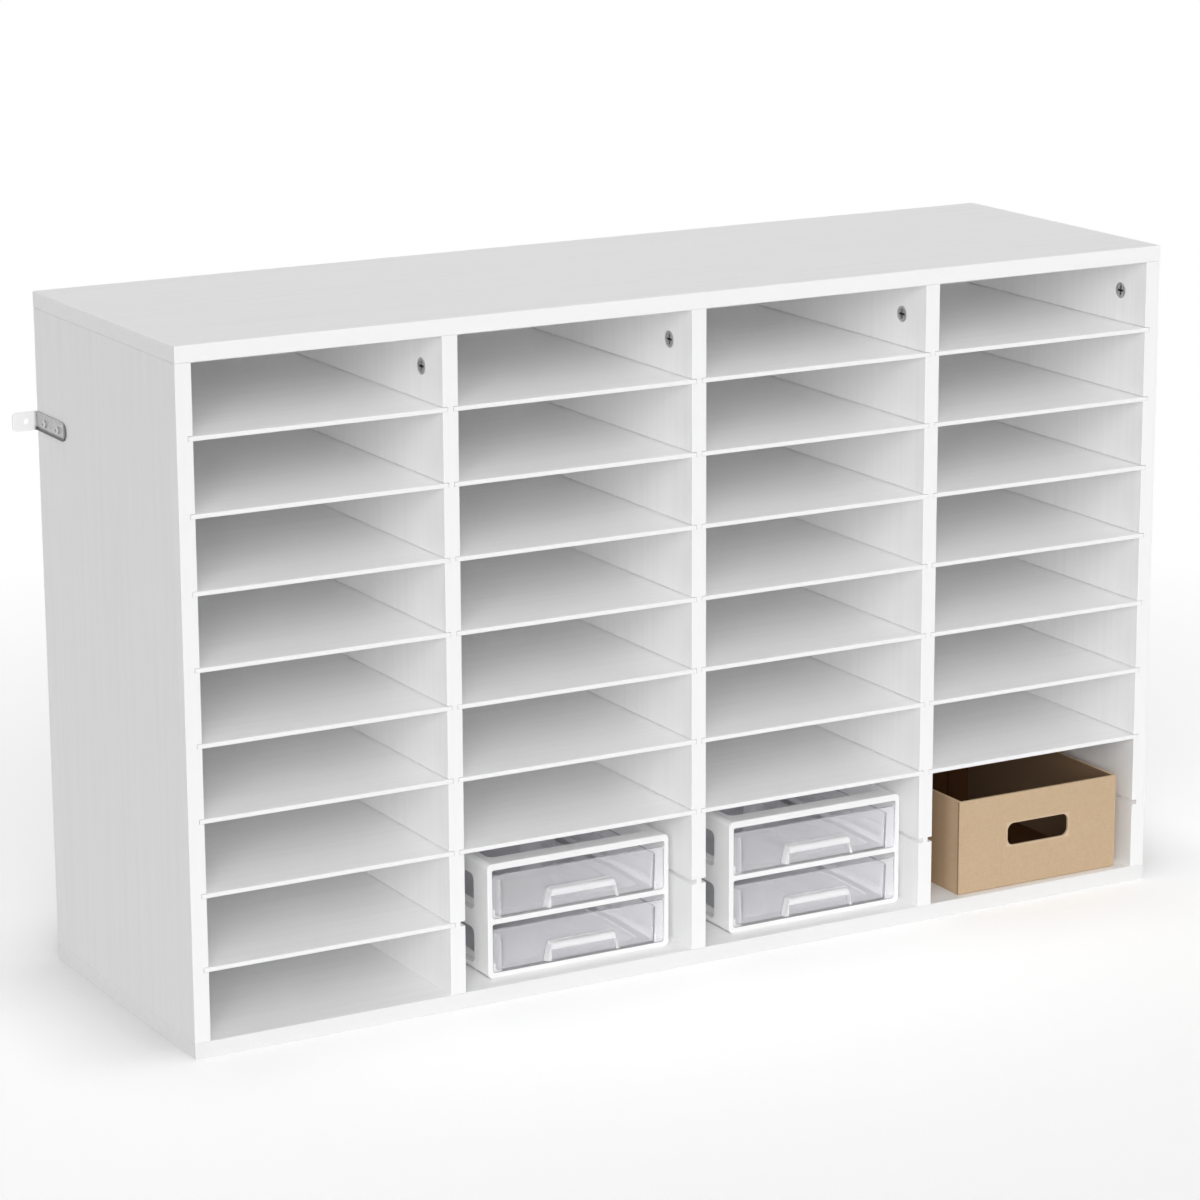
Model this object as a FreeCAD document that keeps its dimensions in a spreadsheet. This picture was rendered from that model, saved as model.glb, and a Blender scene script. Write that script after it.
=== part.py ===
import FreeCAD, Part
import os
import re

import Sketcher

# A white literature organizer: four columns of nine slots between thin shelves that slide in grooves.
# Two small drawer chests and an open kraft box stand where the lowest shelf of a column is taken out.
#
# Frame: X across the width, -Y is the front, +Z up. The origin is the middle of the underside.

doc = FreeCAD.newDocument("organizer")

# ---------------------------------------------------------------- driving dimensions, in millimetres

DRIVING = {
    # cabinet
    "cabinet_width": 1000,
    "cabinet_depth": 310,
    "cabinet_height": 620,
    "columns": 4,
    "levels": 9,
    "board": 15,
    "edge_break": 0.6,
    # shelves and their grooves
    "shelf_board": 4,
    "shelf_edge_break": 0.5,
    "groove_depth": 5,
    "groove_play": 0.6,
    "shelf_side_play": 0.5,
    "shelf_rear_play": 0.5,
    # back board in its groove
    "back_board": 3,
    "back_inset": 10,
    "back_groove": 5,
    "back_play": 0.1,
    # cam locks in the uprights
    "cam_radius": 7.5,
    "cam_depth": 12.5,
    "cam_drop": 32,
    "cam_front": 40,
    "cam_rear": 55,
    "cam_slot_width": 2,
    "cam_slot_length": 9,
    "cam_slot_depth": 2.5,
    "cam_play": 0.15,
    # wall bracket on the left side
    "bracket_steel": 1.8,
    "bracket_height": 17,
    "bracket_side_leg": 68,
    "bracket_wall_leg": 24,
    "bracket_drop": 116,
    "bracket_bend": 1,
    "bracket_front_round": 8,
    "bracket_wall_round": 4,
    "bracket_hole_radius": 2.25,
    "bracket_first_hole": 22,
    "bracket_hole_spacing": 30,
    "wall_hole_radius": 2.75,
    "wall_hole_middle": 13,
    "side_screw_radius": 1.75,
    "side_screw_length": 12,
    "side_screw_head_radius": 3.5,
    "side_screw_head": 2.2,
    # drawer chests
    "chest_width": 186,
    "chest_depth": 240,
    "chest_top_gap": 21,
    "chest_recess": 20,
    "chest_a_side_gap": 12.5,
    "chest_b_side_gap": 8.5,
    "chest_wall": 2.5,
    "chest_round": 5,
    "bezel_side": 4.5,
    "bezel_depth": 3,
    "rail_bottom": 5,
    "rail_middle": 4.7,
    "rail_top": 6,
    "window_round": 6,
    "window_side": 11,
    "window_end": 18,
    "floor_window_side": 22,
    "opening_round": 2,
    "chest_edge_round": 1,
    "side_post": 27,
    "side_window_sill": 2,
    "side_window_top": 10.15,
    "guide_lead": 6,
    "guide_height": 6,
    "guide_wall": 2,
    # clear drawers
    "drawer_side_gap": 7,
    "drawer_play": 0.7,
    "front_play": 0.5,
    "front_recess": 0.6,
    "drawer_wall": 2,
    "drawer_front_wall": 2.4,
    "drawer_top_gap": 5.65,
    "drawer_tub_drop": 6,
    "drawer_round": 6,
    "drawer_draft": 1.5,
    "drawer_rear_play": 0.5,
    "pull_foot_width": 76,
    "pull_top_width": 67,
    "pull_height": 17,
    "pull_reach": 9,
    "pull_lift": 5,
    "pull_wall": 1.6,
    "pull_round": 4,
    "pull_leg": 4.5,
    "pull_mouth": 10.5,
    # kraft box
    "box_width": 181,
    "box_depth": 250,
    "box_top_gap": 36,
    "box_recess": 8,
    "box_side_gap": 14,
    "box_card": 2.5,
    "box_fold": 2,
    "box_seam": 0.5,
    "box_flap": 24,
    "box_flap_drop": 2,
    "hand_hole_width": 70,
    "hand_hole_height": 22,
    "hand_hole_drop": 40.5,
    "hand_hole_round": 7,
}

# What follows from them.
DERIVED = {
    "slot_width": "(cabinet_width - (columns + 1) * board) / columns",
    "slot_height": "(cabinet_height - 2 * board - (levels - 1) * shelf_board) / levels",
    "column_pitch": "slot_width + board",
    "level_pitch": "slot_height + shelf_board",
    "upright": "cabinet_height - 2 * board",
    "groove_height": "shelf_board + groove_play",
    "back_face": "cabinet_depth - back_inset - back_board",
    "back_slit": "back_board + 2 * back_play",
    "fixing_spacing": "cabinet_depth - cam_front - cam_rear",
    "left_face": "-cabinet_width / 2",
    "front_face": "-cabinet_depth / 2",
    "shelf_width": "slot_width + 2 * (groove_depth - shelf_side_play)",
    "shelf_depth": "back_face - shelf_rear_play",
    "bracket_middle": "cabinet_height - bracket_drop",
    "double_slot": "2 * slot_height + shelf_board",
    "chest_height": "double_slot - chest_top_gap",
    "chest_level": "(chest_height - rail_bottom - rail_middle - rail_top) / 2",
    "upper_floor": "rail_bottom + chest_level + rail_middle",
    "side_window_height": "chest_level - side_window_sill - side_window_top",
    "opening_width": "chest_width - 2 * bezel_side",
    "front_width": "opening_width - 2 * front_play",
    "tub_width": "front_width - 2 * drawer_side_gap",
    "tub_depth": "chest_depth - chest_wall - drawer_rear_play - front_recess",
    "drawer_front_height": "chest_level - drawer_top_gap",
    "drawer_tub_height": "drawer_front_height - drawer_tub_drop",
    "box_height": "double_slot - box_top_gap",
    "hand_hole_middle": "box_height - hand_hole_drop",
}

sheet = doc.addObject("Spreadsheet::Sheet", "Sizes")
for row, (alias, content) in enumerate([*DRIVING.items(), *DERIVED.items()], start=1):
    is_formula = alias in DERIVED
    sheet.set(f"A{row}", alias.replace("_", " "))
    sheet.set(f"B{row}", f"={content}" if is_formula else str(content))
    sheet.setAlias(f"B{row}", alias)
doc.recompute()

ALIASES = {*DRIVING, *DERIVED}


def formula(text):
    """The expression with the sheet's name before each of its sizes."""
    return re.sub(r"[a-z_]+", lambda word: f"Sizes.{word[0]}" if word[0] in ALIASES else word[0], str(text))


def value(text):
    """What the expression comes to now, in millimetres."""
    return float(sheet.evalExpression(formula(text)))


# ---------------------------------------------------------------- helpers for bodies, sketches and features


def new_body(label, x, y, z):
    """A body whose own origin stands at this place in the cabinet's frame."""
    body = doc.addObject("PartDesign::Body", label)
    body.Label = label
    for axis, place in zip("xyz", (x, y, z)):
        body.setExpression(f"Placement.Base.{axis}", formula(place))
    return body


def origin_feature(body, role):
    return next(item for item in body.Origin.OriginFeatures if item.Role == role)


def sketch_on(body, plane, x=0, y=0, lift=0):
    """A sketch on XY, XZ or YZ of the body, moved by x and y in the plane and by lift along +Z, +Y or +X."""
    sketch = body.newObject("Sketcher::SketchObject", "Sketch")
    sketch.AttachmentSupport = [(origin_feature(body, f"{plane}_Plane"), "")]
    sketch.MapMode = "FlatFace"
    along_normal = f"-({lift})" if plane == "XZ" else lift
    for axis, offset in zip("xyz", (x, y, along_normal)):
        sketch.setExpression(f"AttachmentOffset.Base.{axis}", formula(offset))
    return sketch


def bind(sketch, kind, *where, size):
    """One dimension of the sketch, tied to the sheet."""
    index = sketch.addConstraint(Sketcher.Constraint(kind, *where, value(size)))
    sketch.setExpression(f"Constraints[{index}]", formula(size))


def polygon(sketch, corners):
    """A closed outline. Each corner is (x, y), measured from the sketch's origin and never negative."""
    spots = [FreeCAD.Vector(value(x), value(y), 0) for x, y in corners]
    first = sketch.GeometryCount
    count = len(corners)
    for i in range(count):
        sketch.addGeometry(Part.LineSegment(spots[i], spots[(i + 1) % count]))
    for i in range(count):
        sketch.addConstraint(Sketcher.Constraint("Coincident", first + i, 2, first + (i + 1) % count, 1))
    for i, (x, y) in enumerate(corners):
        for size, kind, axis_line in ((x, "DistanceX", -2), (y, "DistanceY", -1)):
            if size == 0:
                sketch.addConstraint(Sketcher.Constraint("PointOnObject", first + i, 1, axis_line))
            else:
                bind(sketch, kind, -1, 1, first + i, 1, size=size)


def rectangle(sketch, width, height):
    polygon(sketch, [(0, 0), (width, 0), (width, height), (0, height)])


def rounded_rectangle(sketch, width, height, radius):
    """A rectangle from the sketch's origin with its four corners rounded."""
    wide, high, turn = value(width), value(height), value(radius)
    right, top = wide - turn, high - turn
    lines = [
        ((turn, 0), (right, 0)),
        ((wide, turn), (wide, top)),
        ((right, high), (turn, high)),
        ((0, top), (0, turn)),
    ]
    centres = [(right, turn), (right, top), (turn, top), (turn, turn)]
    quarter = 1.5707963267948966
    line = []
    for start, end in lines:
        line.append(sketch.addGeometry(Part.LineSegment(FreeCAD.Vector(*start, 0), FreeCAD.Vector(*end, 0))))
    arc = []
    for i, centre in enumerate(centres):
        circle = Part.Circle(FreeCAD.Vector(*centre, 0), FreeCAD.Vector(0, 0, 1), turn)
        arc.append(sketch.addGeometry(Part.ArcOfCircle(circle, (i - 1) * quarter, i * quarter)))
    for i in range(4):
        sketch.addConstraint(Sketcher.Constraint("Tangent", line[i], 2, arc[i], 1))
        sketch.addConstraint(Sketcher.Constraint("Tangent", arc[i], 2, line[(i + 1) % 4], 1))
        bind(sketch, "Radius", arc[i], size=radius)
    for i, kind in enumerate(("Horizontal", "Vertical", "Horizontal", "Vertical")):
        sketch.addConstraint(Sketcher.Constraint(kind, line[i]))
    sketch.addConstraint(Sketcher.Constraint("PointOnObject", line[0], 1, -1))
    sketch.addConstraint(Sketcher.Constraint("PointOnObject", line[3], 1, -2))
    bind(sketch, "DistanceX", -1, 1, line[1], 1, size=width)
    bind(sketch, "DistanceY", -1, 1, line[2], 1, size=height)


def circle(sketch, radius):
    """A circle about the sketch's origin."""
    index = sketch.addGeometry(Part.Circle(FreeCAD.Vector(0, 0, 0), FreeCAD.Vector(0, 0, 1), value(radius)))
    sketch.addConstraint(Sketcher.Constraint("Coincident", index, 3, -1, 1))
    bind(sketch, "Radius", index, size=radius)


def extrude(kind, body, sketch, length, positive):
    """A Pad or Pocket of this length along the positive or negative side of the sketch plane's axis."""
    feature = body.newObject(f"PartDesign::{kind}", kind)
    feature.Profile = sketch
    feature.setExpression("Length", formula(length))
    plane_role = sketch.AttachmentSupport[0][0].Role
    normal_is_positive = plane_role != "XZ_Plane"
    goes_with_normal = positive == normal_is_positive
    feature.Reversed = goes_with_normal if kind == "Pocket" else not goes_with_normal
    body.Tip = feature
    return feature


def pad(body, sketch, length, positive=True):
    return extrude("Pad", body, sketch, length, positive)


def pocket(body, sketch, length, positive=True):
    return extrude("Pocket", body, sketch, length, positive)


def turned(kind, body, sketch, axis="V_Axis"):
    """A full Revolution or Groove of the sketch about one of its own axes."""
    feature = body.newObject(f"PartDesign::{kind}", kind)
    feature.Profile = sketch
    feature.ReferenceAxis = (sketch, [axis])
    feature.Angle = 360
    body.Tip = feature
    return feature


def pattern(body, features, *steps):
    """Copies of the features in rows: each step is (axis, distance between neighbours, count)."""
    rows = body.newObject("PartDesign::LinearPattern", "Pattern")
    rows.Originals = features
    for suffix, (axis, spacing, count) in zip(("", "2"), steps):
        setattr(rows, f"Direction{suffix}", (origin_feature(body, f"{axis}_Axis"), [""]))
        setattr(rows, f"Mode{suffix}", "Extent")
        rows.setExpression(f"Occurrences{suffix}", formula(count))
        rows.setExpression(f"Length{suffix}", formula(f"({spacing}) * (({count}) - 1)"))
    body.Tip = rows
    return rows


def dress_edges(kind, quantity, body, size, chosen):
    """A Fillet or Chamfer on the tip's edges for which chosen(edge) holds."""
    doc.recompute()
    base = body.Tip
    dressing = body.newObject(f"PartDesign::{kind}", kind)
    edges = [f"Edge{i}" for i, edge in enumerate(base.Shape.Edges, start=1) if chosen(edge)]
    dressing.Base = (base, edges)
    dressing.setExpression(quantity, formula(size))
    body.Tip = dressing


def round_edges(body, radius, chosen):
    dress_edges("Fillet", "Radius", body, radius, chosen)


def break_edges(body, size, chosen):
    dress_edges("Chamfer", "Size", body, size, chosen)


def runs_along(axis, **where):
    """Tests an edge: straight along the axis, and its middle at each given coordinate."""

    def test(edge):
        if not isinstance(edge.Curve, Part.Line):
            return False
        direction, middle = edge.Curve.Direction, edge.CenterOfMass
        on_axis = abs(abs(getattr(direction, axis)) - 1) < 1e-6
        return on_axis and all(abs(getattr(middle, name) - spot) < 1e-4 for name, spot in where.items())

    return test


def cross(sketch, length, width):
    """A plus sign that fills a square of this length from the sketch's origin."""
    near, far = f"({length} - {width}) / 2", f"({length} + {width}) / 2"
    polygon(sketch, [
        (near, 0), (far, 0), (far, near), (length, near), (length, far), (far, far),
        (far, length), (near, length), (near, far), (0, far), (0, near), (near, near),
    ])


# ---------------------------------------------------------------- cabinet boards


def board(label, wide, deep, high, x, y, z):
    body = new_body(label, x, y, z)
    outline = sketch_on(body, "XY")
    rectangle(outline, wide, deep)
    pad(body, outline, high)
    return body


def cut_hole(body, plane, radius, depth, positive, **place):
    hole = sketch_on(body, plane, **place)
    circle(hole, radius)
    return pocket(body, hole, depth, positive)


def flat_board(label, z, slit_lift, slit_goes_up):
    """The top or bottom board, with the slit that the back board stands in."""
    body = board(label, "cabinet_width", "cabinet_depth", "board", "left_face", "front_face", z)
    break_edges(body, "edge_break", lambda edge: edge.BoundBox.ZLength < 1e-6)
    slit = sketch_on(body, "XY", x="board - back_groove", y="back_face - back_play", lift=slit_lift)
    rectangle(slit, "cabinet_width - 2 * (board - back_groove)", "back_slit")
    pocket(body, slit, "back_groove", slit_goes_up)
    return body


def shelf_grooves(body, x):
    """The row of grooves up one face of an upright board, open at its front and rear edges."""
    profile = sketch_on(body, "XZ", x=x, y="slot_height")
    rectangle(profile, "groove_depth", "groove_height")
    groove = pocket(body, profile, "cabinet_depth")
    pattern(body, [groove], ("Z", "level_pitch", "levels - 1"))


def cam_pockets(body, face, goes_right):
    place = {"x": "cam_front", "y": "upright - cam_drop", "lift": face}
    hole = cut_hole(body, "YZ", "cam_radius", "cam_depth", goes_right, **place)
    pattern(body, [hole], ("Y", "fixing_spacing", 2))


def side_board(label, x, inner_face, groove_x, slit_x, cams_go_right):
    body = board(label, "board", "cabinet_depth", "upright", x, "front_face", "board")
    break_edges(body, "edge_break", runs_along("z"))
    shelf_grooves(body, groove_x)
    slit = sketch_on(body, "XY", x=slit_x, y="back_face - back_play")
    rectangle(slit, "back_groove", "back_slit")
    pocket(body, slit, "upright")
    cam_pockets(body, inner_face, cams_go_right)
    return body


def left_side():
    groove, slit = "board - groove_depth", "board - back_groove"
    body = side_board("left_side_panel", "left_face", "board", groove, slit, False)
    rear_hole = "cabinet_depth - bracket_first_hole"
    pilot = cut_hole(
        body, "YZ", "side_screw_radius", "side_screw_length - bracket_steel", True,
        x=f"{rear_hole} - bracket_hole_spacing", y="bracket_middle - board",
    )
    pattern(body, [pilot], ("Y", "bracket_hole_spacing", 2))
    return body


def right_side():
    return side_board("right_side_panel", "-left_face - board", 0, 0, 0, True)


def divider(number):
    """An upright between two columns; its rear edge stands against the back board."""
    place = f"left_face + {number} * column_pitch"
    body = board(f"divider_{number}", "board", "back_face", "upright", place, "front_face", "board")
    break_edges(body, "edge_break", runs_along("z", y=0))
    shelf_grooves(body, 0)
    shelf_grooves(body, "board - groove_depth")
    cam_pockets(body, 0, True)
    return body


def back_board():
    reach = "back_groove - back_play"
    corner = f"left_face + board - ({reach})", "front_face + back_face", f"board - ({reach})"
    body = new_body("back_panel", *corner)
    outline = sketch_on(body, "XY")
    rectangle(outline, f"cabinet_width - 2 * board + 2 * ({reach})", "back_board")
    pad(body, outline, f"upright + 2 * ({reach})")
    return body


def shelf(column, level):
    """A thin shelf whose edges lie in the grooves of the uprights on both sides of it."""
    x = f"left_face + board + {column - 1} * column_pitch - groove_depth + shelf_side_play"
    z = f"board + slot_height + {level - 1} * level_pitch"
    body = new_body(f"shelf_{column}_{level}", x, "front_face", z)
    outline = sketch_on(body, "XY")
    rectangle(outline, "shelf_width", "shelf_depth")
    pad(body, outline, "shelf_board")
    break_edges(body, "shelf_edge_break", runs_along("x", y=0))
    return body


# ---------------------------------------------------------------- cam locks


def cam(body, face, goes_right):
    """A cam lock let into a board, with a cross slot in its face."""
    disc = sketch_on(body, "YZ", x="cam_front", y="upright - cam_drop", lift=face)
    circle(disc, "cam_radius - cam_play")
    housing = pad(body, disc, "cam_depth - cam_play", goes_right)
    slot_front = "cam_front - cam_slot_length / 2"
    slot_bottom = "upright - cam_drop - cam_slot_length / 2"
    slot = sketch_on(body, "YZ", x=slot_front, y=slot_bottom, lift=face)
    cross(slot, "cam_slot_length", "cam_slot_width")
    recess = pocket(body, slot, "cam_slot_depth", goes_right)
    return [housing, recess]


def cam_locks():
    """Two in each upright: the left side's face inwards, all others face the left."""
    body = new_body("cam_locks", "left_face", "front_face", "board")
    left = cam(body, "board", False)
    pattern(body, left, ("Y", "fixing_spacing", 2))
    others = cam(body, "column_pitch", True)
    pattern(body, others, ("X", "column_pitch", "columns"), ("Y", "fixing_spacing", 2))
    return body


# ---------------------------------------------------------------- wall bracket


def anti_tip_bracket():
    """A bent strip: its long leg lies on the left side, its short leg reaches out along the wall."""
    side_leg, wall_leg, steel = "bracket_side_leg", "bracket_wall_leg", "bracket_steel"
    corner = f"left_face - {wall_leg}", f"-front_face - {side_leg}", "bracket_middle - bracket_height / 2"
    body = new_body("anti_tip_bracket", *corner)
    outline = sketch_on(body, "XY")
    inside = f"{wall_leg} - {steel}"
    polygon(outline, [
        (inside, 0), (wall_leg, 0), (wall_leg, side_leg), (0, side_leg), (0, f"{side_leg} - {steel}"),
        (inside, f"{side_leg} - {steel}"),
    ])
    pad(body, outline, "bracket_height")
    outer_corner = runs_along("z", x=value(wall_leg), y=value(side_leg))
    inner_corner = runs_along("z", x=value(inside), y=value(f"{side_leg} - {steel}"))
    round_edges(body, "bracket_bend + bracket_steel", outer_corner)
    round_edges(body, "bracket_bend", inner_corner)
    round_edges(body, "bracket_front_round", runs_along("x", y=0))
    round_edges(body, "bracket_wall_round", runs_along("y", x=0))
    screw_hole = cut_hole(
        body, "YZ", "bracket_hole_radius", steel, True,
        x=f"{side_leg} - bracket_first_hole - bracket_hole_spacing", y="bracket_height / 2", lift=inside,
    )
    pattern(body, [screw_hole], ("Y", "bracket_hole_spacing", 2))
    cut_hole(
        body, "XZ", "wall_hole_radius", steel, False,
        x="wall_hole_middle", y="bracket_height / 2", lift=side_leg,
    )
    return body


def bracket_screws():
    """Pan-head screws that hold the bracket's long leg to the left side."""
    head_face = "left_face - bracket_steel - side_screw_head"
    body = new_body("bracket_screws", head_face, "-front_face - bracket_side_leg", "bracket_middle")
    middle = "bracket_side_leg - bracket_first_hole - bracket_hole_spacing"
    outline = sketch_on(body, "XZ", lift=middle)
    head, radius = "side_screw_head", "side_screw_head_radius"
    end = "side_screw_head + side_screw_length"
    polygon(outline, [
        (0, 0), (end, 0), (end, "side_screw_radius"), (head, "side_screw_radius"),
        (head, radius), (f"{head} / 2", radius), (0, f"{radius} * 3 / 5"),
    ])
    screw = turned("Revolution", body, outline, "H_Axis")
    length, width = "side_screw_head_radius", "side_screw_head_radius / 4"
    recess = sketch_on(body, "YZ", x=f"{middle} - {length} / 2", y=f"-{length} / 2")
    cross(recess, length, width)
    drive = pocket(body, recess, "side_screw_head / 2")
    pattern(body, [screw, drive], ("Y", "bracket_hole_spacing", 2))
    return body


# ---------------------------------------------------------------- drawer chests


def chest_corner(column, side_gap):
    """Where a chest's lower front left corner stands."""
    x = f"left_face + {column} * column_pitch - {side_gap} - chest_width"
    return x, "front_face + chest_recess", "board"


def chest_frame(label, corner):
    """A moulded open frame: two levels behind a front bezel, with rounded windows in every wall."""
    body = new_body(label, *corner)
    outline = sketch_on(body, "XZ")
    rounded_rectangle(outline, "chest_width", "chest_height", "chest_round")
    pad(body, outline, "chest_depth")
    round_edges(body, "chest_edge_round", lambda edge: edge.BoundBox.YMax < 1e-6)

    inner_width = "chest_width - 2 * chest_wall"
    lower_height = "chest_level + rail_middle - chest_wall"
    upper_height = "chest_height - chest_wall - upper_floor"
    for low, high in (("rail_bottom", lower_height), ("upper_floor", upper_height)):
        chamber = sketch_on(body, "XZ", x="chest_wall", y=low, lift="bezel_depth")
        rectangle(chamber, inner_width, high)
        pocket(body, chamber, "chest_depth - bezel_depth")
    underside = sketch_on(body, "XY", x="chest_wall", y="bezel_depth")
    rectangle(underside, inner_width, "chest_depth - bezel_depth - chest_wall")
    pocket(body, underside, "rail_bottom - chest_wall")

    back = sketch_on(body, "XZ", x="chest_wall", y="rail_bottom", lift="chest_depth - chest_wall")
    rectangle(back, inner_width, "chest_height - rail_bottom - chest_wall")
    pad(body, back, "chest_wall")

    opening = sketch_on(body, "XZ", x="bezel_side", y="rail_bottom")
    rounded_rectangle(opening, "opening_width", "chest_level", "opening_round")
    opening_cut = pocket(body, opening, "bezel_depth")
    sill = "rail_bottom + side_window_sill"
    side = sketch_on(body, "YZ", x="side_post", y=sill)
    rounded_rectangle(side, "chest_depth - 2 * side_post", "side_window_height", "window_round")
    side_cut = pocket(body, side, "chest_width")
    rear = sketch_on(body, "XZ", x="side_post", y=sill, lift="chest_depth")
    rounded_rectangle(rear, "chest_width - 2 * side_post", "side_window_height", "window_round")
    rear_cut = pocket(body, rear, "chest_wall", False)
    pattern(body, [opening_cut, side_cut, rear_cut], ("Z", "upper_floor - rail_bottom", 2))

    top = sketch_on(body, "XY", x="window_side", y="window_end", lift="chest_height")
    rounded_rectangle(top, "chest_width - 2 * window_side", "chest_depth - 2 * window_end", "window_round")
    pocket(body, top, "chest_wall", False)
    floors = sketch_on(body, "XY", x="floor_window_side", y="window_end")
    floor_window_width = "chest_width - 2 * floor_window_side"
    rounded_rectangle(floors, floor_window_width, "chest_depth - 2 * window_end", "window_round")
    pocket(body, floors, "upper_floor")

    tub_side = "(chest_width - tub_width) / 2"
    start = "bezel_depth + guide_lead"
    rib = sketch_on(body, "XY", x=f"{tub_side} - drawer_play - guide_wall", y=start, lift="rail_bottom")
    rectangle(rib, "guide_wall", f"chest_depth - chest_wall - ({start})")
    guide = pad(body, rib, "guide_height")
    across = "tub_width + 2 * drawer_play + guide_wall"
    pattern(body, [guide], ("X", across, 2), ("Z", "upper_floor - rail_bottom", 2))
    return body


def drawer(label, corner, floor):
    """A clear moulded drawer: a drafted tub behind a wider front, with a hooded finger pull."""
    chest_x, chest_y, chest_z = corner
    front_x = f"{chest_x} + (chest_width - front_width) / 2"
    body = new_body(label, front_x, f"{chest_y} + front_recess", f"{chest_z} + {floor}")
    rim = sketch_on(body, "XY", x="drawer_side_gap", lift="drawer_tub_height")
    rounded_rectangle(rim, "tub_width", "tub_depth", "drawer_round")
    tub = pad(body, rim, "drawer_tub_height", False)
    tub.setExpression("TaperAngle", formula("-drawer_draft"))
    inner_x = "drawer_side_gap + drawer_wall"
    inside = sketch_on(body, "XY", x=inner_x, y="drawer_front_wall", lift="drawer_tub_height")
    inner_length = "tub_depth - drawer_front_wall - drawer_wall"
    rounded_rectangle(inside, "tub_width - 2 * drawer_wall", inner_length, "drawer_round - drawer_wall")
    hollow = pocket(body, inside, "drawer_tub_height - drawer_wall", False)
    hollow.setExpression("TaperAngle", formula("-drawer_draft"))

    front = sketch_on(body, "XZ")
    rounded_rectangle(front, "front_width", "drawer_front_height", "opening_round")
    pad(body, front, "drawer_front_wall")
    finger_pull(body)
    return body


def finger_pull(body):
    """A hood on the front: a rounded trapezoid, hollow from below, its lower front open between two legs."""
    slope = "(pull_foot_width - pull_top_width) / 2"
    left = "(front_width - pull_foot_width) / 2"
    outline = sketch_on(body, "XZ", x=left, y="pull_lift")
    polygon(outline, [
        (0, 0), ("pull_foot_width", 0), (f"pull_foot_width - {slope}", "pull_height"), (slope, "pull_height"),
    ])
    pad(body, outline, "pull_reach", False)
    foot = value("pull_lift") + 0.1
    round_edges(body, "pull_round", lambda edge: edge.CenterOfMass.y < -0.1 and edge.CenterOfMass.z > foot)

    hollow = sketch_on(body, "XZ", x=f"{left} + pull_wall", y="pull_lift")
    inner_width, inner_height = "(pull_foot_width - 2 * pull_wall)", "(pull_height - pull_wall)"
    polygon(hollow, [
        (0, 0), (inner_width, 0), (f"{inner_width} - {slope}", inner_height), (slope, inner_height),
    ])
    pocket(body, hollow, "pull_reach - pull_wall", False)
    mouth = sketch_on(body, "XZ", x=f"{left} + pull_leg", y="pull_lift", lift="-pull_reach")
    rectangle(mouth, "pull_foot_width - 2 * pull_leg", "pull_mouth")
    pocket(body, mouth, "pull_wall")


# ---------------------------------------------------------------- kraft box


def kraft_box():
    """An open card box: front and rear lap over the ends of the sides, which turn in as glued flaps."""
    corner = "left_face + columns * column_pitch - box_side_gap - box_width"
    body = new_body("kraft_box", corner, "front_face + box_recess", "board")
    outline = sketch_on(body, "XY")
    rectangle(outline, "box_width", "box_depth")
    pad(body, outline, "box_height")
    round_edges(body, "box_fold", lambda edge: edge.BoundBox.ZMax < 1e-6)

    for face, inward in ((0, True), ("box_width", False)):
        side = sketch_on(body, "YZ", x="box_card", lift=face)
        rectangle(side, "box_depth - 2 * box_card", "box_height")
        pocket(body, side, "box_seam", inward)

    side_wall = "(box_card + box_seam)"
    mouth = sketch_on(body, "XY", x=side_wall, y="box_card", lift="box_height")
    rectangle(mouth, f"box_width - 2 * {side_wall}", "box_depth - 2 * box_card")
    pocket(body, mouth, "box_height - box_card", False)

    strip = sketch_on(body, "XY", x=side_wall, y="box_card", lift="box_card")
    rectangle(strip, "box_flap", "box_card")
    flap = pad(body, strip, "box_height - box_card - box_flap_drop")
    across = f"box_width - 2 * {side_wall} - box_flap"
    pattern(body, [flap], ("X", across, 2), ("Y", "box_depth - 3 * box_card", 2))

    grip = sketch_on(
        body, "XZ", x="(box_width - hand_hole_width) / 2", y="hand_hole_middle - hand_hole_height / 2"
    )
    rounded_rectangle(grip, "hand_hole_width", "hand_hole_height", "hand_hole_round")
    pocket(body, grip, "box_card")
    return body


# ---------------------------------------------------------------- the assembly

FREE_LEVELS = {1: 1, 2: 2, 3: 2, 4: 2}  # column: the lowest shelf that is in place

nodes = [
    flat_board("bottom_panel", 0, "board", False),
    flat_board("top_panel", "board + upright", 0, True),
    left_side(),
    right_side(),
    back_board(),
]
nodes += [divider(number) for number in (1, 2, 3)]
nodes += [cam_locks(), anti_tip_bracket(), bracket_screws()]

for name, column, side_gap in (("chest_a", 2, "chest_a_side_gap"), ("chest_b", 3, "chest_b_side_gap")):
    corner = chest_corner(column, side_gap)
    nodes.append(chest_frame(f"{name}_frame", corner))
    nodes.append(drawer(f"{name}_lower_drawer", corner, "rail_bottom"))
    nodes.append(drawer(f"{name}_upper_drawer", corner, "upper_floor"))
nodes.append(kraft_box())

for column, lowest in FREE_LEVELS.items():
    nodes += [shelf(column, level) for level in range(lowest, DRIVING["levels"])]

doc.recompute()

# ---------------------------------------------------------------- checks and export

for item in doc.Objects:
    if "Invalid" in item.State or "Error" in item.State:
        raise RuntimeError(f"{item.Name} ({item.Label}) did not build: {item.State}")
    if item.TypeId in ("PartDesign::Pocket", "PartDesign::Groove"):
        if item.Shape.Volume > item.BaseFeature.Shape.Volume - 1e-3:
            raise RuntimeError(f"{item.Name} cuts nothing")
for node in nodes:
    if node.Shape.isNull() or not node.Shape.isValid():
        raise RuntimeError(f"{node.Label} has no valid shape")

os.makedirs("parts", exist_ok=True)
for node in nodes:
    node.Shape.exportStep(f"parts/{node.Label}.step")
    print(f"{node.Label}: {len(node.Shape.Solids)} solid(s), {node.Shape.Volume / 1000:.1f} cm3")
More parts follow.
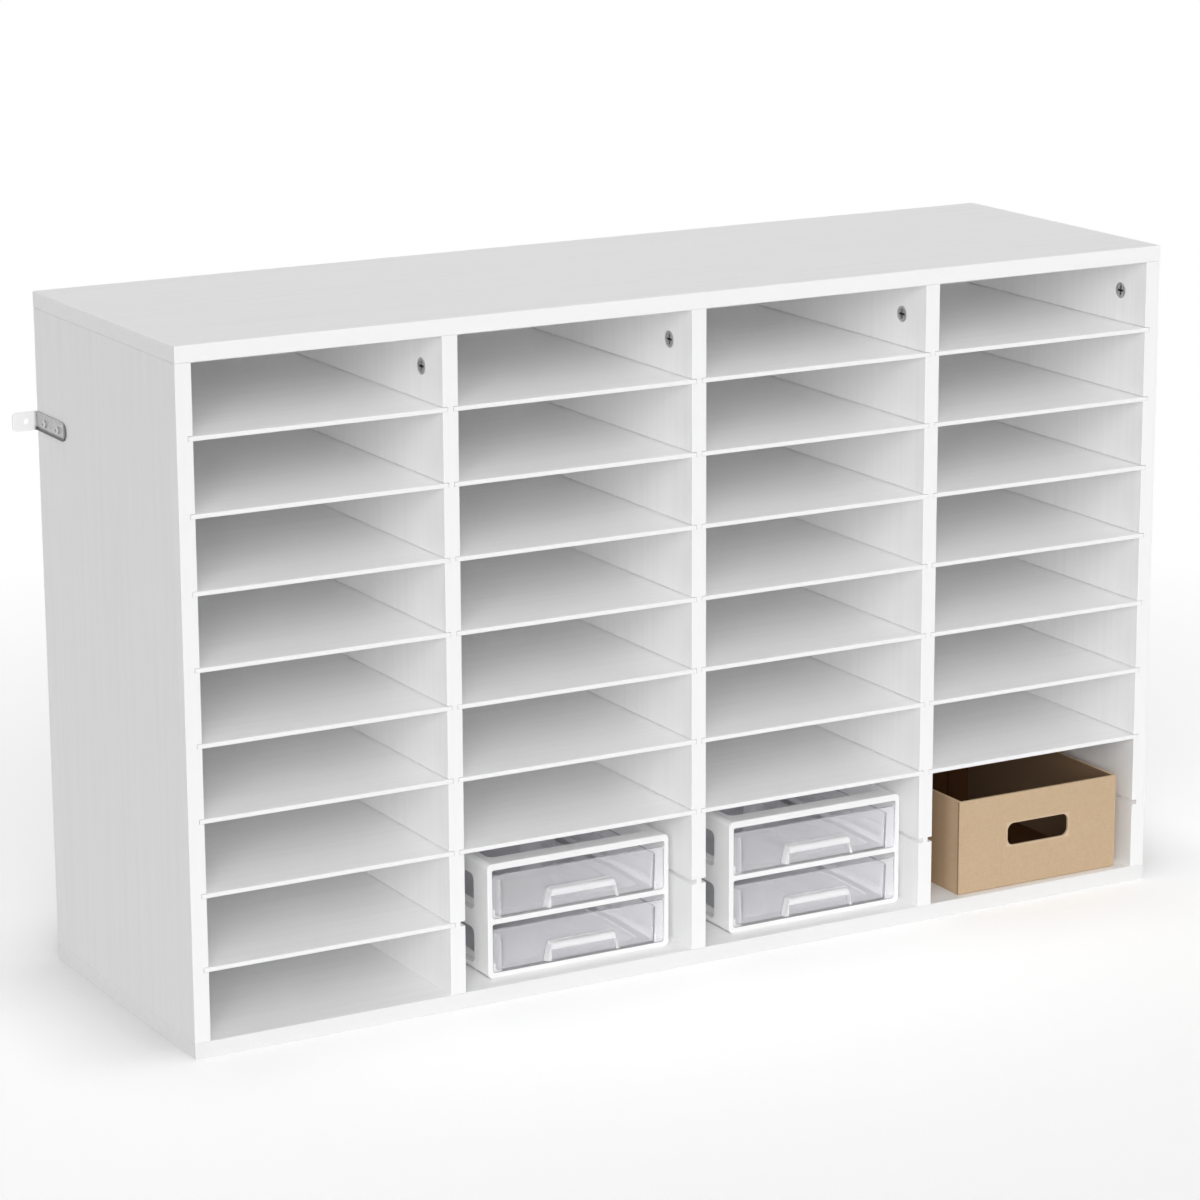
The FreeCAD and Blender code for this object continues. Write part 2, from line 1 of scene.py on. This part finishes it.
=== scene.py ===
import math

import bpy
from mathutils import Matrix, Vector


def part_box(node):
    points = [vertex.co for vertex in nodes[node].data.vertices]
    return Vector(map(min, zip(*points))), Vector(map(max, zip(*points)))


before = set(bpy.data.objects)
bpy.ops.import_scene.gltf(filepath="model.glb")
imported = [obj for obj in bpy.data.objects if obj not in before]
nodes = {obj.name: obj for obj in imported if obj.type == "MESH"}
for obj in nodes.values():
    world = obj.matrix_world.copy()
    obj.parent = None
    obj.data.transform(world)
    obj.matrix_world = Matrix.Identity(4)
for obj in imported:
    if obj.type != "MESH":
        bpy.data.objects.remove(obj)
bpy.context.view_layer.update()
scene = bpy.context.scene

MM = 0.001

# ---------------------------------------------------------------- places taken from the frame

TOP_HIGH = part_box("top_panel")[1]
FRONT_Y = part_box("top_panel")[0].y
LEFT_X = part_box("top_panel")[0].x
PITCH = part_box("divider_1")[0].x - LEFT_X
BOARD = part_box("left_side_panel")[1].x - LEFT_X
CENTRE = (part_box("bottom_panel")[0] + TOP_HIGH) / 2
PULL_REACH = 9.0 * MM
BAND_DEPTH = 0.7 * MM
BAND_FADE_END = 0.9 * MM
SEAM_BEHIND_FRONT = 1.0 * MM

# ---------------------------------------------------------------- helpers for node trees


def add(tree, kind, inputs=None, **settings):
    """A new node. Each input is a value, or the socket that feeds it."""
    node = tree.nodes.new(f"ShaderNode{kind}")
    for name, setting in settings.items():
        setattr(node, name, setting)
    for key, given in (inputs or {}).items():
        if isinstance(given, bpy.types.NodeSocket):
            tree.links.new(given, node.inputs[key])
        else:
            node.inputs[key].default_value = given
    return node


def maths(tree, operation, first, second=0.0, third=0.0):
    return add(tree, "Math", {0: first, 1: second, 2: third}, operation=operation).outputs[0]


def grey(level):
    return (level, level, level, 1.0)


def mixed(tree, factor, first, second):
    """Colour that goes from first to second as factor goes from 0 to 1."""
    node = add(tree, "Mix", {0: factor, 6: first, 7: second}, data_type="RGBA")
    return node.outputs[2]


def noise(tree, place, scale, detail=2.0, roughness=0.5, stretch=(1, 1, 1)):
    """Noise from 0 to 1 with this many lumps a metre, each divided by stretch along X, Y and Z."""
    vector = add(tree, "Mapping", {"Vector": place, "Scale": tuple(scale * s for s in stretch)}).outputs[0]
    inputs = {"Vector": vector, "Scale": 1.0, "Detail": detail, "Roughness": roughness}
    return add(tree, "TexNoise", inputs).outputs[0]


def ranged(tree, given, low, high, to_low=0.0, to_high=1.0):
    """given, as it goes from low to high, turned into to_low to to_high and held there."""
    inputs = {"Value": given, "From Min": low, "From Max": high, "To Min": to_low, "To Max": to_high}
    return add(tree, "MapRange", inputs).outputs[0]


def bump(tree, height, depth, before=None):
    """Surface relief of this depth in metres for a height from 0 to 1."""
    inputs = {"Height": height, "Distance": depth, "Strength": 1.0}
    if before is not None:
        inputs["Normal"] = before
    return add(tree, "Bump", inputs).outputs[0]


def new_material(name):
    made = bpy.data.materials.new(name)
    made.use_nodes = True
    made.node_tree.nodes.clear()
    return made, made.node_tree


def place_in(tree):
    """(place in the row frame at rest, and its X, Y and Z)"""
    place = add(tree, "TexCoord").outputs["Object"]
    parts = add(tree, "SeparateXYZ", {0: place}).outputs
    return place, parts


def normal_in(tree):
    return add(tree, "SeparateXYZ", {0: add(tree, "TexCoord").outputs["Normal"]}).outputs


def finish_tree(tree, shader):
    output = add(tree, "OutputMaterial")
    tree.links.new(shader, output.inputs["Surface"])


# ---------------------------------------------------------------- materials

HOLE_HALF_WIDTH = 35 * MM
HOLE_HALF_HEIGHT = 11 * MM
HOLE_DROP = 40.5 * MM
CARD = 2.3 * MM
CARD_PASSED = 2.45 * MM
SIDE_WALL = 3.1 * MM

WHITE = 0.945
# EDGE_WHITE is painted shade: the front edge bands, a real strip, are set darker than the faces so that the
# brightly lit fronts stay below white.
EDGE_WHITE = 0.905
# BOTTOM_EDGE_WHITE is painted shade: the bottom rail's front edge is darker still, towards the floor.
BOTTOM_EDGE_WHITE = 0.83


def board_white(name, grain, level=WHITE, band=EDGE_WHITE, seam_z=None):
    """White melamine on particle board: faint pressed grain and wider streaks along one axis, and an edge
    band at the front with a seam behind it. seam_z is the height of a dark joint with the uprights."""
    made, tree = new_material(name)
    place, xyz = place_in(tree)
    across, along = 900.0, 14.0
    stretch = tuple(along / across if axis == grain else 1.0 for axis in "xyz")
    pores = noise(tree, place, across, 3.0, 0.6, stretch)
    cloud_stretch = tuple(0.25 if axis == grain else 1.0 for axis in "xyz")
    clouds = noise(tree, place, 7.0, 2.0, 0.5, cloud_stretch)
    peel = noise(tree, place, 1600.0, 1.0)
    figure_stretch = tuple(0.03 if axis == grain else 1.0 for axis in "xyz")
    figure = noise(tree, place, 130.0, 3.0, 0.65, figure_stretch)

    dark, light = grey(level * 0.972), grey(level * 1.012)
    colour = mixed(tree, ranged(tree, pores, 0.3, 0.7), dark, light)
    colour = mixed(tree, ranged(tree, clouds, 0.3, 0.7, 0.0, 0.35), colour, grey(level * 0.975))
    colour = mixed(tree, ranged(tree, figure, 0.42, 0.72, 0.0, 0.8), colour, grey(level * 0.945))
    rough = ranged(tree, pores, 0.3, 0.7, 0.5, 0.38)
    on_band = ranged(tree, xyz[1], FRONT_Y + BAND_FADE_END, FRONT_Y + BAND_DEPTH)
    from_seam = maths(tree, "SUBTRACT", xyz[1], FRONT_Y + SEAM_BEHIND_FRONT)
    on_seam = ranged(tree, maths(tree, "ABSOLUTE", from_seam), 0.1 * MM, 0.22 * MM, 1.0, 0.0)
    # painted shade: the edge band's tone is set below the face's, to hold the lit front edges below white
    band_tone = mixed(tree, ranged(tree, peel, 0.3, 0.7), grey(band * 0.99), grey(band * 1.01))
    colour = mixed(tree, on_band, colour, band_tone)
    colour = mixed(tree, on_seam, colour, grey(level * 0.8))
    rough = add(tree, "Mix", {0: on_band, 2: rough, 3: 0.33}).outputs[0]
    if seam_z is not None:
        off_joint = maths(tree, "ABSOLUTE", maths(tree, "SUBTRACT", xyz[2], seam_z))
        joint = ranged(tree, off_joint, 0.2 * MM, 0.45 * MM, 0.6, 0.0)
        past_upright = maths(tree, "MODULO", maths(tree, "SUBTRACT", xyz[0], LEFT_X - 0.2 * MM), PITCH)
        on_upright = ranged(tree, past_upright, BOARD + 0.2 * MM, BOARD + 0.4 * MM, 1.0, 0.0)
        upright_face = ranged(tree, maths(tree, "ABSOLUTE", normal_in(tree)[2]), 0.5, 0.8, 1.0, 0.0)
        joint = maths(tree, "MULTIPLY", joint, upright_face)
        colour = mixed(tree, maths(tree, "MULTIPLY", joint, on_upright), colour, grey(0.3))
    relief = bump(tree, pores, 0.03 * MM)
    relief = bump(tree, peel, 0.006 * MM, relief)
    surface = add(tree, "BsdfPrincipled", {"Base Color": colour, "Roughness": rough, "Normal": relief})
    finish_tree(tree, surface.outputs[0])
    return made


def back_white():
    """White faced hardboard with the faint weave that its press leaves."""
    made, tree = new_material("back_board_faced")
    place, _ = place_in(tree)
    threads = {"Vector": place, "Scale": 260.0, "Distortion": 0.6, "Detail": 1.0}
    waves = [add(tree, "TexWave", threads, bands_direction=axis) for axis in "XZ"]
    weave = maths(tree, "MULTIPLY", waves[0].outputs[1], waves[1].outputs[1])
    clouds = noise(tree, place, 9.0, 3.0)
    colour = mixed(tree, ranged(tree, clouds, 0.3, 0.7), grey(WHITE * 0.95), grey(WHITE * 0.99))
    colour = mixed(tree, ranged(tree, weave, 0.0, 1.0, 0.0, 0.3), colour, grey(WHITE * 0.93))
    rough = ranged(tree, clouds, 0.3, 0.7, 0.52, 0.6)
    relief = bump(tree, weave, 0.02 * MM)
    surface = add(tree, "BsdfPrincipled", {"Base Color": colour, "Roughness": rough, "Normal": relief})
    finish_tree(tree, surface.outputs[0])
    return made


def metal(name, light, dark, roughness, streak_axis=None, shade=None):
    """Zinc or plated steel: fine grains, blotches and, on rolled strip, streaks along one axis.
    shade gets the tree, place, tone and colour, and returns the colour and how metallic the surface is."""
    made, tree = new_material(name)
    place, xyz = place_in(tree)
    grains = noise(tree, place, 1400.0, 3.0)
    blotches = noise(tree, place, 160.0, 3.0, 0.6)
    stretch = tuple(0.03 if axis == streak_axis else 1.0 for axis in "xyz")
    streaks = noise(tree, place, 2600.0, 2.0, 0.5, stretch) if streak_axis else grains
    tone = maths(tree, "MULTIPLY_ADD", streaks, 0.5, maths(tree, "MULTIPLY", blotches, 0.5))
    colour = mixed(tree, ranged(tree, tone, 0.35, 0.65), dark, light)
    rough = ranged(tree, tone, 0.35, 0.65, roughness + 0.08, roughness - 0.06)
    bare = 1.0
    if shade is not None:
        colour, bare = shade(tree, xyz, tone, colour)
    relief = bump(tree, streaks, 0.012 * MM)
    relief = bump(tree, grains, 0.01 * MM, relief)
    surface = add(tree, "BsdfPrincipled", {
        "Base Color": colour, "Metallic": bare, "Roughness": rough, "Normal": relief,
    })
    finish_tree(tree, surface.outputs[0])
    return made


def cam_zinc():
    """Cast zinc with a cross slot, painted dark at its bottom as painted shade in the recess."""

    def slot_share(tree, depth):
        """1 from about 1 to 3 mm below the upright's face, where the slot's bottom is, which gets the painted
        shade.
        """
        below_face = ranged(tree, depth, 0.4 * MM, 1.2 * MM)
        above_core = ranged(tree, depth, 3 * MM, 4 * MM, 1.0, 0.0)
        return maths(tree, "MULTIPLY", below_face, above_core)

    def painted_shade_cross(tree, xyz, tone, colour):
        from_left = maths(tree, "SUBTRACT", xyz[0], LEFT_X)
        past_left_face = maths(tree, "MODULO", from_left, PITCH)
        past_right_face = maths(tree, "SUBTRACT", BOARD, past_left_face)
        inside = [slot_share(tree, depth) for depth in (past_left_face, past_right_face)]
        # painted shade: the slot's bottom goes near black
        return mixed(tree, maths(tree, "MAXIMUM", *inside), colour, grey(0.10)), 1.0

    return metal("cast_zinc", grey(0.86), grey(0.68), 0.38, None, painted_shade_cross)


def bracket_strip():
    """Plated strip: a wall leg painted nearly white as a painted reflection, a dull long leg, and a painted
    shadow along the lower edge and at the front end.
    """
    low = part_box("anti_tip_bracket")[0]

    def two_legs(tree, xyz, tone, colour):
        on_wall_leg = ranged(tree, xyz[0], LEFT_X - 2.2 * MM, LEFT_X - 4.0 * MM)
        # painted shadow: dark along the lower edge and at the front end
        under = ranged(tree, xyz[2], low.z + 4.2 * MM, low.z + 2.4 * MM, 0.0, 0.9)
        end = ranged(tree, xyz[1], low.y + 4.5 * MM, low.y + 2.0 * MM, 0.0, 0.6)
        colour = mixed(tree, maths(tree, "MAXIMUM", under, end), colour, grey(0.06))
        # painted reflection: the wall leg is nearly white and barely metallic, where the same plated strip
        # shows a bright reflection
        bare = ranged(tree, on_wall_leg, 0.0, 1.0, 1.0, 0.2)
        wall_leg = mixed(tree, tone, grey(0.88), grey(0.94))
        return mixed(tree, on_wall_leg, colour, wall_leg), bare

    return metal("plated_strip", grey(0.52), grey(0.36), 0.32, "y", two_legs)


def moulded_white():
    """Glossy white moulded plastic with slight flow waves, whiter on the faces to the left and right as
    painted light for sides that stand in the slots' shade.
    """
    made, tree = new_material("moulded_white")
    place, _ = place_in(tree)
    flow = noise(tree, place, 28.0, 2.0, 0.5, (1, 0.4, 1))
    specks = noise(tree, place, 1800.0, 2.0)
    colour = mixed(tree, ranged(tree, flow, 0.3, 0.7), grey(0.885), grey(0.91))
    # painted light: the side faces, in the shade of the slots, are whiter than the front
    on_side = ranged(tree, maths(tree, "ABSOLUTE", normal_in(tree)[0]), 0.6, 0.95)
    colour = mixed(tree, on_side, colour, grey(0.97))
    rough = ranged(tree, specks, 0.3, 0.7, 0.17, 0.26)
    relief = bump(tree, flow, 0.12 * MM)
    relief = bump(tree, specks, 0.004 * MM, relief)
    surface = add(tree, "BsdfPrincipled", {
        "Base Color": colour, "Roughness": rough, "Normal": relief,
        "Coat Weight": 0.25, "Coat Roughness": 0.08,
    })
    finish_tree(tree, surface.outputs[0])
    return made


def clear_plastic():
    """Clear polystyrene with a faint cool tint, flow marks and fine scuffs, whiter and less clear on the
    pulls as a painted highlight. It casts nearly no shadow."""
    made, tree = new_material("clear_moulded")
    place, xyz = place_in(tree)
    flow = noise(tree, place, 22.0, 2.0, 0.5, (1, 0.5, 1))
    scuffs = noise(tree, place, 700.0, 4.0, 0.7)
    colour = mixed(tree, ranged(tree, flow, 0.3, 0.7), (0.955, 0.95, 0.975, 1), (0.98, 0.978, 0.992, 1))
    rough = ranged(tree, scuffs, 0.4, 0.75, 0.02, 0.09)
    relief = bump(tree, flow, 0.1 * MM)
    plate_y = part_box("chest_a_lower_drawer")[0].y + PULL_REACH
    # painted highlight: the pulls are whiter and less clear than the plate
    on_pull = ranged(tree, xyz[1], plate_y - 0.6 * MM, plate_y - 1.6 * MM)
    colour = mixed(tree, on_pull, colour, grey(0.99))
    clearness = ranged(tree, maths(tree, "MULTIPLY_ADD", scuffs, 0.1, on_pull), 0.0, 1.1, 0.85, 0.71)
    surface = add(tree, "BsdfPrincipled", {
        "Base Color": colour, "Roughness": rough, "Normal": relief,
        "IOR": 1.5, "Transmission Weight": clearness,
    })
    open_to_lamps = add(tree, "BsdfTransparent", {"Color": (0.97, 0.97, 0.98, 1)})
    path = add(tree, "LightPath")
    both = add(tree, "MixShader", {
        0: path.outputs["Is Shadow Ray"], 1: surface.outputs[0], 2: open_to_lamps.outputs[0],
    })
    finish_tree(tree, both.outputs[0])
    return made


def kraft_card():
    """Brown kraft card: fibres both ways, faint flutes, pale cut edges, painted shade on the sides behind the
    front corner, and an inside painted dark as shade.
    """
    made, tree = new_material("kraft_card_fibres")
    place, xyz = place_in(tree)
    low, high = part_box("kraft_box")
    fibres_up = noise(tree, place, 1500.0, 3.0, 0.6, (1, 1, 0.12))
    fibres_across = noise(tree, place, 1500.0, 3.0, 0.6, (0.12, 0.12, 1))
    clouds = noise(tree, place, 22.0, 3.0, 0.6)
    specks = noise(tree, place, 900.0, 2.0, 0.5)
    fibres = maths(tree, "MULTIPLY_ADD", fibres_up, 0.5, maths(tree, "MULTIPLY", fibres_across, 0.5))

    colour = mixed(tree, ranged(tree, fibres, 0.35, 0.65), (0.52, 0.38, 0.243, 1), (0.61, 0.46, 0.305, 1))
    colour = mixed(tree, ranged(tree, clouds, 0.3, 0.7, 0.0, 0.35), colour, (0.54, 0.39, 0.25, 1))
    colour = mixed(tree, ranged(tree, specks, 0.68, 0.74, 0.0, 0.35), colour, (0.30, 0.19, 0.10, 1))

    on_left = ranged(tree, xyz[0], low.x + 0.8 * MM, low.x + 0.7 * MM)
    on_right = ranged(tree, xyz[0], high.x - 0.8 * MM, high.x - 0.7 * MM)
    on_side = maths(tree, "MAXIMUM", on_left, on_right)
    from_front = maths(tree, "SUBTRACT", xyz[1], low.y)
    # painted shade: the sides darken from about 13 mm behind the front towards the rear
    panel = ranged(tree, from_front, 13.0 * MM, 27.0 * MM, 0.0, 0.7)
    colour = mixed(tree, maths(tree, "MULTIPLY", on_side, panel), colour, (0.38, 0.26, 0.16, 1))
    lap = maths(tree, "ABSOLUTE", maths(tree, "SUBTRACT", from_front, 1.8 * MM))
    lap = ranged(tree, lap, 0.4 * MM, 0.8 * MM, 0.85, 0.0)
    colour = mixed(tree, maths(tree, "MULTIPLY", on_side, lap), colour, (0.17, 0.10, 0.05, 1))

    off_middle_x = maths(tree, "ABSOLUTE", maths(tree, "SUBTRACT", xyz[0], (low.x + high.x) / 2))
    off_middle_z = maths(tree, "ABSOLUTE", maths(tree, "SUBTRACT", xyz[2], high.z - HOLE_DROP))
    past_width = maths(tree, "SUBTRACT", off_middle_x, HOLE_HALF_WIDTH)
    past_height = maths(tree, "SUBTRACT", off_middle_z, HOLE_HALF_HEIGHT)
    past_hole = maths(tree, "MAXIMUM", past_width, past_height)
    on_front = ranged(tree, from_front, 2.4 * MM, 2.3 * MM)
    hole_rim = maths(tree, "MULTIPLY", ranged(tree, past_hole, 0.5 * MM, 1.8 * MM, 0.6, 0.0), on_front)
    colour = mixed(tree, hole_rim, colour, (0.70, 0.55, 0.39, 1))

    inside = ranged(tree, xyz[0], low.x + SIDE_WALL - 0.3 * MM, low.x + SIDE_WALL)
    limits = [
        ranged(tree, xyz[0], high.x - SIDE_WALL, high.x - SIDE_WALL + 0.3 * MM, 1, 0),
        ranged(tree, xyz[1], low.y + CARD, low.y + CARD_PASSED),
        ranged(tree, xyz[1], high.y - CARD_PASSED, high.y - CARD, 1, 0),
        ranged(tree, xyz[2], low.z + CARD, low.z + CARD_PASSED),
        ranged(tree, xyz[2], high.z - 0.2 * MM, high.z - 0.1 * MM, 1, 0),
    ]
    for share in limits:
        inside = maths(tree, "MULTIPLY", inside, share)
    # painted shade: the inside of the box is near black-brown
    colour = mixed(tree, inside, colour, (0.125, 0.052, 0.019, 1))

    rim = ranged(tree, xyz[2], high.z - 0.15 * MM, high.z - 0.05 * MM)
    colour = mixed(tree, rim, colour, (0.66, 0.50, 0.33, 1))

    flutes = add(tree, "TexWave", {"Vector": place, "Scale": 46.0, "Distortion": 0.5}, bands_direction="X")
    relief = bump(tree, flutes.outputs[1], 0.05 * MM)
    relief = bump(tree, fibres, 0.05 * MM, relief)
    rough = ranged(tree, fibres, 0.3, 0.7, 0.72, 0.86)
    surface = add(tree, "BsdfPrincipled", {
        "Base Color": colour, "Roughness": rough, "Normal": relief, "Specular IOR Level": 0.15,
    })
    finish_tree(tree, surface.outputs[0])
    return made


# ---------------------------------------------------------------- materials onto the CAD nodes

upright_board = board_white("upright_melamine", "z")
# painted light: the top board is a little whiter than the uprights, for its lit top
top_board = board_white("top_melamine", "x", WHITE * 1.02, EDGE_WHITE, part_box("top_panel")[0].z)
bottom_seam_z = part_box("bottom_panel")[1].z
# painted shade: the bottom board is a little darker than the uprights, and its edge band much darker
bottom_board = board_white("bottom_melamine", "x", WHITE * 0.985, BOTTOM_EDGE_WHITE, bottom_seam_z)
# painted light: the shelves are a little whiter than the uprights, for the shade inside the slots
shelf_board = board_white("shelf_melamine", "x", WHITE * 1.01)
back_board = back_white()
zinc = cam_zinc()
strip = bracket_strip()
screw = metal("plated_screw", (0.62, 0.62, 0.61, 1), (0.46, 0.46, 0.45, 1), 0.3)
frame_plastic = moulded_white()
drawer_plastic = clear_plastic()
card = kraft_card()

finishes = {
    "top_panel": top_board,
    "bottom_panel": bottom_board,
    "back_panel": back_board,
    "cam_locks": zinc,
    "anti_tip_bracket": strip,
    "bracket_screws": screw,
    "kraft_box": card,
}
for name, node in nodes.items():
    if name.startswith("shelf_"):
        finish = shelf_board
    elif name.endswith("_drawer"):
        finish = drawer_plastic
    elif name.endswith("_frame"):
        finish = frame_plastic
    else:
        finish = finishes.get(name, upright_board)
    for slot in node.material_slots:
        slot.material = finish

# ---------------------------------------------------------------- floor, world and lamp

FLOOR_RADIUS = 5.0
FLOOR_SIDES = 96
FLOOR_NEAR, FLOOR_FAR = 0.8, 1.6
FLOOR_GLOW = 0.34
CONTACT_GLOW = 0.2
CONTACT_REACH = 0.14


def studio_floor():
    """A wide pale floor. Seen directly, it is diffuse with some glow near the object, and white further out.
    The glow is less where the object covers the sky, most of all behind the front face."""
    mesh = bpy.data.meshes.new("floor")
    turns = [math.tau * step / FLOOR_SIDES for step in range(FLOOR_SIDES)]
    rim = [(FLOOR_RADIUS * math.cos(turn), FLOOR_RADIUS * math.sin(turn), 0) for turn in turns]
    mesh.from_pydata(rim, [], [tuple(range(len(rim)))])
    floor = bpy.data.objects.new("floor", mesh)
    scene.collection.objects.link(floor)
    made, tree = new_material("studio_floor")
    place, xyz = place_in(tree)
    speckle = noise(tree, place, 40.0, 3.0)
    seen_tone = mixed(tree, speckle, grey(0.89), grey(0.91))
    lit_tone = mixed(tree, speckle, grey(0.88), grey(0.90))
    open_sky = add(tree, "AmbientOcclusion", {"Distance": CONTACT_REACH}, samples=8).outputs["AO"]
    covered_glow = ranged(tree, xyz[1], FRONT_Y - 0.01, FRONT_Y + 0.04, CONTACT_GLOW, 0.0)
    glow = ranged(tree, open_sky, 0.5, 1.0, covered_glow, FLOOR_GLOW)
    near = add(tree, "AddShader", {
        0: add(tree, "BsdfDiffuse", {"Color": seen_tone}).outputs[0],
        1: add(tree, "Emission", {"Color": grey(1.0), "Strength": glow}).outputs[0],
    })
    far = add(tree, "Emission", {"Color": grey(1.0), "Strength": 1.0})
    reach = add(tree, "VectorMath", {0: place}, operation="LENGTH").outputs["Value"]
    seen = add(tree, "MixShader", {
        0: ranged(tree, reach, FLOOR_NEAR, FLOOR_FAR), 1: near.outputs[0], 2: far.outputs[0],
    })
    lit = add(tree, "BsdfDiffuse", {"Color": lit_tone})
    chosen = add(tree, "MixShader", {0: direct_sight(tree), 1: lit.outputs[0], 2: seen.outputs[0]})
    finish_tree(tree, chosen.outputs[0])
    made.cycles.emission_sampling = "NONE"
    mesh.materials.append(made)


def direct_sight(tree):
    """1 for rays from the camera, from gloss and through clear plastic, and 0 for the rest."""
    path = add(tree, "LightPath").outputs
    either = maths(tree, "MAXIMUM", path["Is Camera Ray"], path["Is Glossy Ray"])
    return maths(tree, "MAXIMUM", either, path["Is Transmission Ray"])


AROUND_LIGHT = 0.03
KEY_POWER = 21.6
KEY_DISTANCE = 4.0
KEY_AZIMUTH = 10.0
KEY_ELEVATION = 87.0
KEY_SIZE = 2.2


def towards(azimuth, elevation):
    """The unit direction at these degrees. Azimuth is from the front towards the right."""
    turn, rise = math.radians(azimuth), math.radians(elevation)
    return Vector((math.sin(turn) * math.cos(rise), -math.cos(turn) * math.cos(rise), math.sin(rise)))


def soft_patch(tree, way, azimuth, elevation, strength, tightness):
    """World light that falls off around one direction."""
    middle = tuple(towards(azimuth, elevation))
    alike = add(tree, "VectorMath", {0: way, 1: middle}, operation="DOT_PRODUCT").outputs["Value"]
    fall_off = maths(tree, "MULTIPLY_ADD", alike, tightness, -tightness)
    return maths(tree, "MULTIPLY", maths(tree, "EXPONENT", fall_off), strength)


def studio_world():
    """Soft light from a few patches. Seen directly, the background is white."""
    world = bpy.data.worlds.new("studio")
    scene.world = world
    world.use_nodes = True
    tree = world.node_tree
    tree.nodes.clear()
    way = add(tree, "TexCoord").outputs["Generated"]
    patches = [
        soft_patch(tree, way, azimuth=-30.0, elevation=13.0, strength=6.67, tightness=30.0),
        soft_patch(tree, way, azimuth=-30.0, elevation=22.0, strength=3.6, tightness=30.0),
        soft_patch(tree, way, azimuth=-5.0, elevation=50.0, strength=1.7, tightness=12.0),
        soft_patch(tree, way, azimuth=85.0, elevation=8.0, strength=1.0, tightness=8.0),
        soft_patch(tree, way, azimuth=180.0, elevation=6.0, strength=1.35, tightness=8.0),
    ]
    lighting = AROUND_LIGHT
    for patch in patches:
        lighting = maths(tree, "ADD", patch, lighting)
    strength = add(tree, "Mix", {0: direct_sight(tree), 2: lighting, 3: 1.0}).outputs[0]
    shine = add(tree, "Background", {"Color": grey(1.0), "Strength": strength})
    output = add(tree, "OutputWorld")
    tree.links.new(shine.outputs[0], output.inputs["Surface"])


def soft_lamp(name, power, size, azimuth, elevation, distance):
    """A square area lamp that looks at the object's centre."""
    data = bpy.data.lights.new(name, "AREA")
    data.energy = power
    data.size = size
    lamp = bpy.data.objects.new(name, data)
    scene.collection.objects.link(lamp)
    out = towards(azimuth, elevation)
    lamp.location = CENTRE + out * distance
    lamp.rotation_euler = out.to_track_quat("Z", "Y").to_euler()
    lamp.visible_camera = False


studio_floor()
studio_world()
soft_lamp("key", KEY_POWER, KEY_SIZE, KEY_AZIMUTH, KEY_ELEVATION, KEY_DISTANCE)

# ---------------------------------------------------------------- camera

CAMERA_PLACE = (-1.8159, -3.2175, 1.2379)
CAMERA_PITCH, CAMERA_ROLL, CAMERA_TURN = 75.884, 0.284, -29.312
CAMERA_LENS = 123.4


def photo_camera():
    """The camera fitted to the photo, without a shift. Its corners lie 6 to 23 of 1200 pixels off."""
    data = bpy.data.cameras.new("photo_view")
    data.sensor_width = 36.0
    data.lens = CAMERA_LENS
    data.clip_start, data.clip_end = 0.1, 50.0
    camera = bpy.data.objects.new("photo_view", data)
    scene.collection.objects.link(camera)
    camera.location = CAMERA_PLACE
    camera.rotation_euler = [math.radians(a) for a in (CAMERA_PITCH, CAMERA_ROLL, CAMERA_TURN)]
    scene.camera = camera


photo_camera()
scene.view_settings.view_transform = "Standard"
scene.cycles.diffuse_bounces = 12
